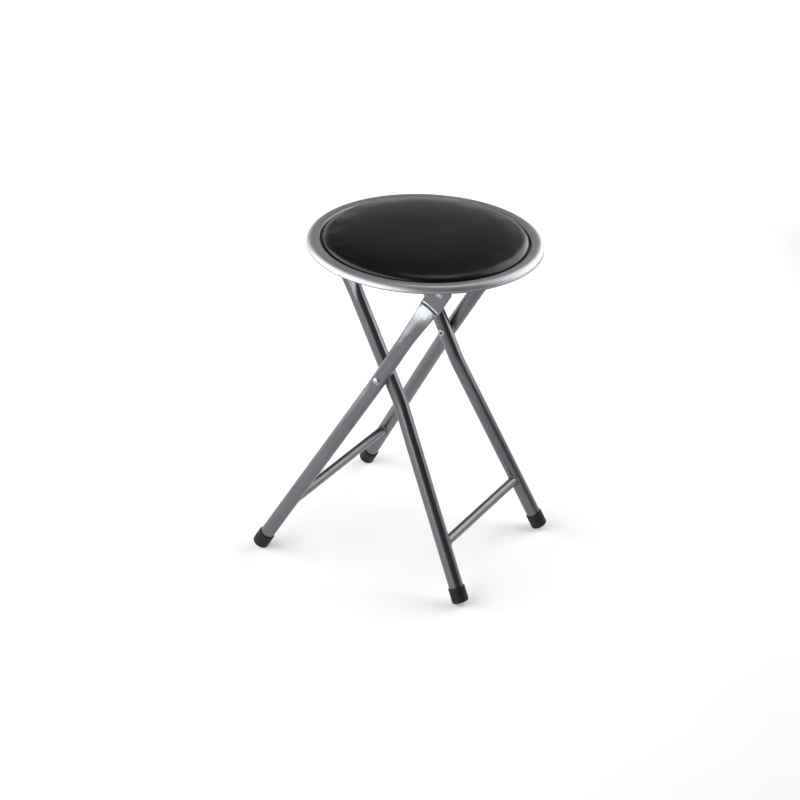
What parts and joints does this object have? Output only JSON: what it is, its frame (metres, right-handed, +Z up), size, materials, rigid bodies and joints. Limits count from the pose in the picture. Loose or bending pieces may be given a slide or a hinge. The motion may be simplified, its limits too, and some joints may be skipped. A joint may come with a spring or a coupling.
{
  "type": "folding stool",
  "caption": "Folding stool with crossed tube legs, rubber foot caps and a round padded seat in a rolled steel rim that hinges up as the legs close.",
  "frame": {"origin": "on the floor, under the middle of the open stool's box", "axes": "+Z up; X across the crossed legs, with the seat hinge at +X and the outer feet at -X; Y along the pivots, front at -Y"},
  "size_m": [0.3178, 0.3, 0.45],
  "materials": {
    "frame_paint": "satin silver-grey powder coat",
    "rim_paint": "satin silver-grey powder coat on pressed sheet",
    "bracket_paint": "satin silver-grey powder coat",
    "zinc_steel": "bright zinc plate",
    "cap_rubber": "moulded, matt",
    "saddle_nylon": "moulded, satin",
    "board": "bare plywood",
    "foam": "open-cell foam",
    "cover_vinyl": "smooth soft-gloss vinyl"
  },
  "bodies": {
    "outer_frame": {"leg_pivot_rivets": "zinc_steel", "leg_pivot_spacers": "zinc_steel", "outer_crossbar": "frame_paint", "outer_foot_cap_front": "cap_rubber", "outer_foot_cap_rear": "cap_rubber", "outer_leg_front": "frame_paint", "outer_leg_rear": "frame_paint", "seat_hinge_rivets": "zinc_steel", "seat_hinge_washers": "zinc_steel"},
    "inner_frame": {"inner_leg_front": "frame_paint", "inner_leg_rear": "frame_paint", "inner_crossbar": "frame_paint", "inner_foot_cap_front": "cap_rubber", "inner_foot_cap_rear": "cap_rubber", "catch_rod": "zinc_steel"},
    "seat": {"seat_pan": "rim_paint", "seat_board": "board", "seat_foam": "foam", "seat_cover": "cover_vinyl", "board_screws": "zinc_steel", "hinge_bracket_front": "bracket_paint", "hinge_bracket_rear": "bracket_paint", "bracket_rivets": "zinc_steel", "catch_saddle_front": "saddle_nylon", "catch_saddle_rear": "saddle_nylon", "catch_screws": "zinc_steel"}
  },
  "joints": [
    {"name": "leg_fold", "type": "hinge", "parent": "outer_frame", "child": "inner_frame", "pos_m": [0.00365, 0, 0.279], "axis": [0, 1, 0], "range_deg": [0, 52]},
    {"name": "seat_flip", "type": "hinge", "parent": "outer_frame", "child": "seat", "pos_m": [0.07865, 0, 0.413], "axis": [0, 1, 0], "range_deg": [0, 119.2]}
  ],
  "couplings": [
    {"joint": "seat_flip", "follows": "leg_fold", "ratio": 2.29}
  ]
}
